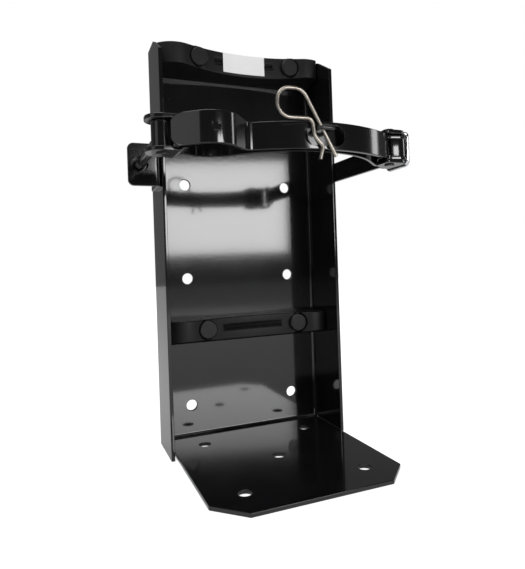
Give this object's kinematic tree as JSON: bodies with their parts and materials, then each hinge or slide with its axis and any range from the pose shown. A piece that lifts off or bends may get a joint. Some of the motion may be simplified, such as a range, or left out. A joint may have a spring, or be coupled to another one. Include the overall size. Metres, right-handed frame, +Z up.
{
  "type": "fire extinguisher bracket",
  "caption": "Black steel channel with folded foot, two moulded saddles and a hinged clamp band closed by a lever with hairpin lock, for holding a cylinder upright.",
  "frame": {"origin": "middle of the bracket's width where the web's back plane meets the plane of the foot's underside", "axes": "+Z up along the channel, +Y out of the web's back into the wall, +X to the right seen from the front"},
  "size_m": [0.1733, 0.157, 0.3084],
  "materials": {
    "channel_paint": "semi-gloss black powder coat",
    "clamp_paint": "gloss black paint",
    "hardware_black": "gloss black paint",
    "saddle_rubber": "matte black moulded rubber",
    "bumper_rubber": "satin black rubber",
    "label_film": "blank white film",
    "zinc_steel": "bright zinc plate",
    "nickel_wire": "drawn spring wire"
  },
  "bodies": {
    "bracket": {"back_channel": "channel_paint", "upper_saddle": "saddle_rubber", "lower_saddle": "saddle_rubber", "upper_bumper_left": "bumper_rubber", "upper_bumper_right": "bumper_rubber", "lower_bumper_left": "bumper_rubber", "lower_bumper_right": "bumper_rubber", "saddle_label": "label_film", "ear_bracket": "clamp_paint", "arm_bracket": "clamp_paint", "eye_bolt": "hardware_black", "eye_bolt_washer": "zinc_steel", "eye_bolt_nut": "zinc_steel"},
    "band": {"band_clevis": "clamp_paint", "clevis_pin": "hardware_black", "clamp_band": "clamp_paint", "band_rivets": "hardware_black", "lever_bracket": "clamp_paint", "lever_bracket_rivets": "hardware_black", "lever_pin": "hardware_black", "band_staple": "hardware_black"},
    "lever": {"latch_lever": "clamp_paint"},
    "hairpin": {"hairpin_clip": "nickel_wire"},
    "bail": {"bail": "zinc_steel"}
  },
  "joints": [
    {"name": "band_swing", "type": "hinge", "parent": "bracket", "child": "band", "pos_m": [-0.085, -0.128, 0.21], "axis": [0, 0, -1], "range_deg": [0, 110]},
    {"name": "lever_swing", "type": "hinge", "parent": "band", "child": "lever", "pos_m": [0.061, -0.1315, 0.21], "axis": [0, 0, 1], "range_deg": [0, 75]},
    {"name": "hairpin_pull", "type": "slide", "parent": "band", "child": "hairpin", "axis": [-0.4794, 0, 0.8776], "range_m": [0, 0.027]},
    {"name": "bail_swing", "type": "hinge", "parent": "bracket", "child": "bail", "pos_m": [0.0744, -0.112, 0.21], "axis": [0, 0, 1], "range_deg": [0, 100]}
  ]
}
